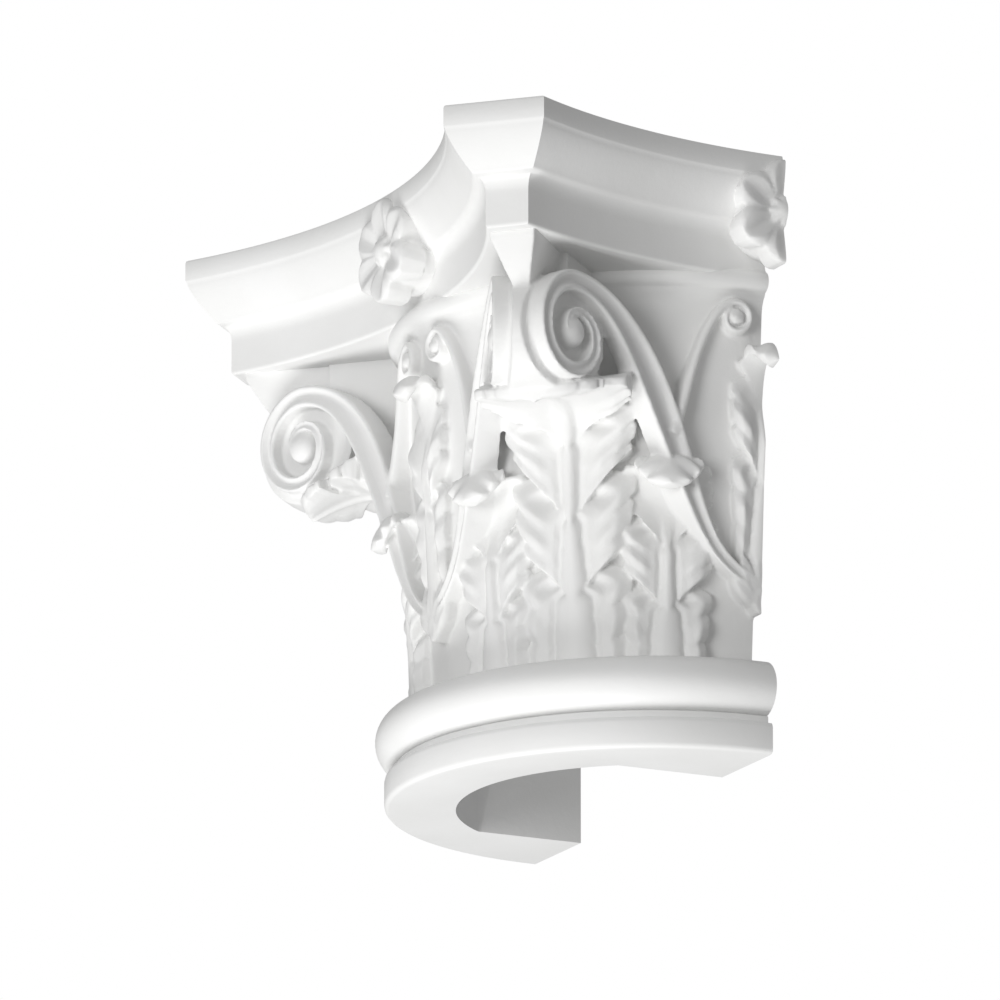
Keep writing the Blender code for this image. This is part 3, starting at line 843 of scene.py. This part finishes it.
def carving():
    """Every carved form, and the bell they grow from, as one set of overlapping shells."""
    shells = Shells()
    shells.add(turned(bell_profile(), BELL_COLUMNS))
    for angle in LOWER_ANGLES:
        lower_leaf(shells, angle)
    for angle in CORNER_ANGLES:
        corner_leaf(shells, angle)
        horn(shells, angle)
    for turn, sides in ((0, (1,)), (90, (-1, 1)), (180, (-1,))):
        centre_leaf(shells, turn)
        bud(shells, turn)
        flower(shells, turn)
        for side in sides:
            ribbon(shells, turn, side)
            volute_web(shells, turn, side)
            volute_button(shells, turn, side)
            inner_curl(shells, turn, side)
    return shells.build("carving")


def apply_modifiers(piece):
    """Replaces a piece's mesh by what its modifiers make of it, and drops them."""
    graph = bpy.context.evaluated_depsgraph_get()
    mesh = bpy.data.meshes.new_from_object(piece.evaluated_get(graph))
    piece.modifiers.clear()
    old = piece.data
    piece.data = mesh
    bpy.data.meshes.remove(old)


def fuse(piece):
    """Turns overlapping shells into one skin, softens its creases as thick paint does, and thins it."""
    remesh = piece.modifiers.new("fuse", 'REMESH')
    remesh.mode = 'VOXEL'
    remesh.voxel_size = VOXEL
    soften = piece.modifiers.new("soften", 'SMOOTH')
    soften.factor = 0.5
    soften.iterations = SOFTENING
    apply_modifiers(piece)
    triangles = sum(len(p.vertices) - 2 for p in piece.data.polygons)
    thin = piece.modifiers.new("thin", 'DECIMATE')
    thin.ratio = min(CARVING_TRIANGLES / triangles, 1.0)
    apply_modifiers(piece)


def combine(piece, other, operation):
    """Joins another closed shape to a piece, or cuts it away, and removes the other shape."""
    change = piece.modifiers.new("combine", 'BOOLEAN')
    change.operation = operation
    change.solver = 'MANIFOLD'
    change.object = other
    apply_modifiers(piece)
    bpy.data.objects.remove(other, do_unlink=True)


def block(name, rings):
    """One closed shell as a piece of its own."""
    shells = Shells()
    shells.add(rings)
    return shells.build(name)


def hollow_rings():
    """Space inside: straight at the sides, round at the front, open below and at the back."""
    edge = math.acos(HOLLOW_HALF_WIDTH / HOLLOW_RADIUS)
    plan = [(HOLLOW_HALF_WIDTH, WALL_Y + OVERRUN)]
    for i in range(49):
        angle = blend(edge, math.pi - edge, i / 48)
        plan.append((HOLLOW_RADIUS * math.cos(angle), WALL_Y - HOLLOW_RADIUS * math.sin(angle)))
    plan.append((-HOLLOW_HALF_WIDTH, WALL_Y + OVERRUN))
    return [[Vector((x, y, z)) for x, y in plan] for z in (-OVERRUN, HOLLOW_TOP)]


def wall_rings():
    """Everything behind the wall plane."""
    reach = 2 * HALF_WIDTH
    corners = ((-reach, WALL_Y), (reach, WALL_Y), (reach, WALL_Y + reach), (-reach, WALL_Y + reach))
    return [[Vector((x, y, z)) for x, y in corners] for z in (-OVERRUN, HEIGHT + OVERRUN)]


def primed_white():
    """Satin white primer: faint cloudiness, fine orange peel, a broader swell, slightly duller in patches.
    """
    material = bpy.data.materials.new("primed_white")
    material.use_nodes = True
    nodes = material.node_tree.nodes
    links = material.node_tree.links
    shader = nodes["Principled BSDF"]
    shader.inputs["IOR"].default_value = 1.46
    shader.inputs["Metallic"].default_value = 0.0
    place = nodes.new("ShaderNodeTexCoord")

    cloud = nodes.new("ShaderNodeTexNoise")
    cloud.inputs["Scale"].default_value = 14.0
    cloud.inputs["Detail"].default_value = 4.0
    links.new(place.outputs["Object"], cloud.inputs["Vector"])
    tint = nodes.new("ShaderNodeValToRGB")
    tint.color_ramp.elements[0].position = 0.30
    tint.color_ramp.elements[0].color = (0.800, 0.800, 0.790, 1)
    tint.color_ramp.elements[1].position = 0.72
    tint.color_ramp.elements[1].color = (0.850, 0.850, 0.845, 1)
    links.new(cloud.outputs["Fac"], tint.inputs["Fac"])
    links.new(tint.outputs["Color"], shader.inputs["Base Color"])

    rough = nodes.new("ShaderNodeMapRange")
    rough.inputs["To Min"].default_value = 0.46
    rough.inputs["To Max"].default_value = 0.62
    links.new(cloud.outputs["Fac"], rough.inputs["Value"])
    links.new(rough.outputs["Result"], shader.inputs["Roughness"])

    peel = nodes.new("ShaderNodeTexNoise")
    peel.inputs["Scale"].default_value = 420.0
    peel.inputs["Detail"].default_value = 3.0
    links.new(place.outputs["Object"], peel.inputs["Vector"])
    swell = nodes.new("ShaderNodeTexNoise")
    swell.inputs["Scale"].default_value = 60.0
    swell.inputs["Detail"].default_value = 2.0
    links.new(place.outputs["Object"], swell.inputs["Vector"])
    fine = nodes.new("ShaderNodeBump")
    fine.inputs["Strength"].default_value = 0.16
    fine.inputs["Distance"].default_value = 0.0004
    links.new(peel.outputs["Fac"], fine.inputs["Height"])
    broad = nodes.new("ShaderNodeBump")
    broad.inputs["Strength"].default_value = 0.12
    broad.inputs["Distance"].default_value = 0.0015
    links.new(swell.outputs["Fac"], broad.inputs["Height"])
    links.new(fine.outputs["Normal"], broad.inputs["Normal"])
    links.new(broad.outputs["Normal"], shader.inputs["Normal"])
    return material


def capital():
    """The whole capital as one skin."""
    piece = carving()
    fuse(piece)
    combine(piece, block("ring", turned(ring_profile(), RING_COLUMNS)), 'UNION')
    combine(piece, block("abacus", abacus()), 'UNION')
    combine(piece, block("hollow", hollow_rings()), 'DIFFERENCE')
    combine(piece, block("wall", wall_rings()), 'DIFFERENCE')
    piece.name = "capital_skin"
    piece.data.materials.clear()
    piece.data.materials.append(primed_white())
    piece.data.shade_smooth()
    piece.data.set_sharp_from_angle(angle=math.radians(SHARP_ANGLE))
    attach(piece, "root")
    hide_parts(NODE)
    return piece


# Camera: low and well to the right of the front, where the photograph was taken from
CAMERA_PLACE = Vector((4.778, WALL_Y - 2.409, -1.277))
CAMERA_AIM = Vector((0.0, 0.010, HEIGHT / 2))
LENS = 415.0

# Floor: as far below as where the capital really sits over the ground
FLOOR_Z = -2.45
FLOOR_REACH = 14

# Light: a broad lamp from the right of the front, a weaker one from below, and white surroundings
LIGHT_AIM = (0, 0, 0.14)
KEY_PLACE = (1.95, -2.83, -0.10)
KEY_SIZE = 1.6
KEY_POWER = 47
UNDER_PLACE = (0.15, -0.90, -1.93)
UNDER_SIZE = 1.4
UNDER_POWER = 36
WORLD_LIGHT = 0.32
WORLD_SEEN = 1.0


def make_camera():
    """Long lens from far away, as the photograph's nearly parallel edges ask for."""
    data = bpy.data.cameras.new("camera")
    camera = bpy.data.objects.new("camera", data)
    bpy.context.scene.collection.objects.link(camera)
    camera.location = CAMERA_PLACE
    camera.rotation_mode = 'QUATERNION'
    camera.rotation_quaternion = (CAMERA_AIM - CAMERA_PLACE).to_track_quat('-Z', 'Y')
    data.lens = LENS
    data.clip_start = 0.05
    data.clip_end = 60
    bpy.context.scene.camera = camera


def area_light(name, place, size, power):
    """Round lamp that points at the capital."""
    data = bpy.data.lights.new(name, 'AREA')
    data.shape = 'DISK'
    data.size = size
    data.energy = power
    light = bpy.data.objects.new(name, data)
    bpy.context.scene.collection.objects.link(light)
    light.location = place
    light.rotation_mode = 'QUATERNION'
    light.rotation_quaternion = (Vector(LIGHT_AIM) - Vector(place)).to_track_quat('-Z', 'Y')


def make_light():
    """Surroundings that look white but light the capital softly, and the two lamps."""
    world = bpy.data.worlds.new("studio")
    bpy.context.scene.world = world
    world.use_nodes = True
    nodes = world.node_tree.nodes
    links = world.node_tree.links
    nodes.clear()
    output = nodes.new("ShaderNodeOutputWorld")
    lit = nodes.new("ShaderNodeBackground")
    lit.inputs["Color"].default_value = (1.0, 1.0, 1.0, 1)
    lit.inputs["Strength"].default_value = WORLD_LIGHT
    seen = nodes.new("ShaderNodeBackground")
    seen.inputs["Color"].default_value = (1.0, 1.0, 1.0, 1)
    seen.inputs["Strength"].default_value = WORLD_SEEN
    path = nodes.new("ShaderNodeLightPath")
    mix = nodes.new("ShaderNodeMixShader")
    links.new(path.outputs["Is Camera Ray"], mix.inputs["Fac"])
    links.new(lit.outputs["Background"], mix.inputs[1])
    links.new(seen.outputs["Background"], mix.inputs[2])
    links.new(mix.outputs["Shader"], output.inputs["Surface"])
    area_light("key", KEY_PLACE, KEY_SIZE, KEY_POWER)
    area_light("under", UNDER_PLACE, UNDER_SIZE, UNDER_POWER)


def make_floor():
    """Plain pale floor, far below."""
    mesh = bpy.data.meshes.new("floor")
    corners = ((-1, -1), (1, -1), (1, 1), (-1, 1))
    verts = [(FLOOR_REACH * x, FLOOR_REACH * y, FLOOR_Z) for x, y in corners]
    mesh.from_pydata(verts, [], [(0, 1, 2, 3)])
    floor = bpy.data.objects.new("floor", mesh)
    bpy.context.scene.collection.objects.link(floor)
    material = bpy.data.materials.new("floor")
    material.use_nodes = True
    shader = material.node_tree.nodes["Principled BSDF"]
    shader.inputs["Base Color"].default_value = (0.88, 0.88, 0.88, 1)
    shader.inputs["Roughness"].default_value = 0.9
    mesh.materials.append(material)


make_camera()
make_light()
make_floor()
capital()
bpy.context.scene.view_settings.view_transform = 'Standard'
